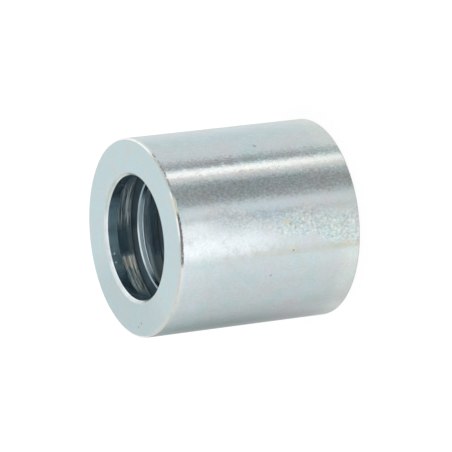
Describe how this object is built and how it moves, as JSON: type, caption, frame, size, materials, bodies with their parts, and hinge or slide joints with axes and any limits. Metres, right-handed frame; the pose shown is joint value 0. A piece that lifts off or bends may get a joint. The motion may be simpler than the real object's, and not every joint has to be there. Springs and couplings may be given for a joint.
{
  "type": "crimp hose ferrule",
  "caption": "Thick-walled turned steel ferrule with a ribbed bore, crimped over a hydraulic hose to lock it onto a fitting.",
  "frame": {"origin": "centre of the hose end's face, on the axis, where the ferrule stands", "axes": "+Z along the axis, from the hose end up to the fitting end; the part is round about it"},
  "size_m": [0.03, 0.03, 0.0304],
  "materials": {
    "zinc_plated_steel": "bright zinc plating with a faint blue passivation over turned steel"
  },
  "bodies": {
    "root": {"ferrule": "zinc_plated_steel"}
  },
  "joints": []
}
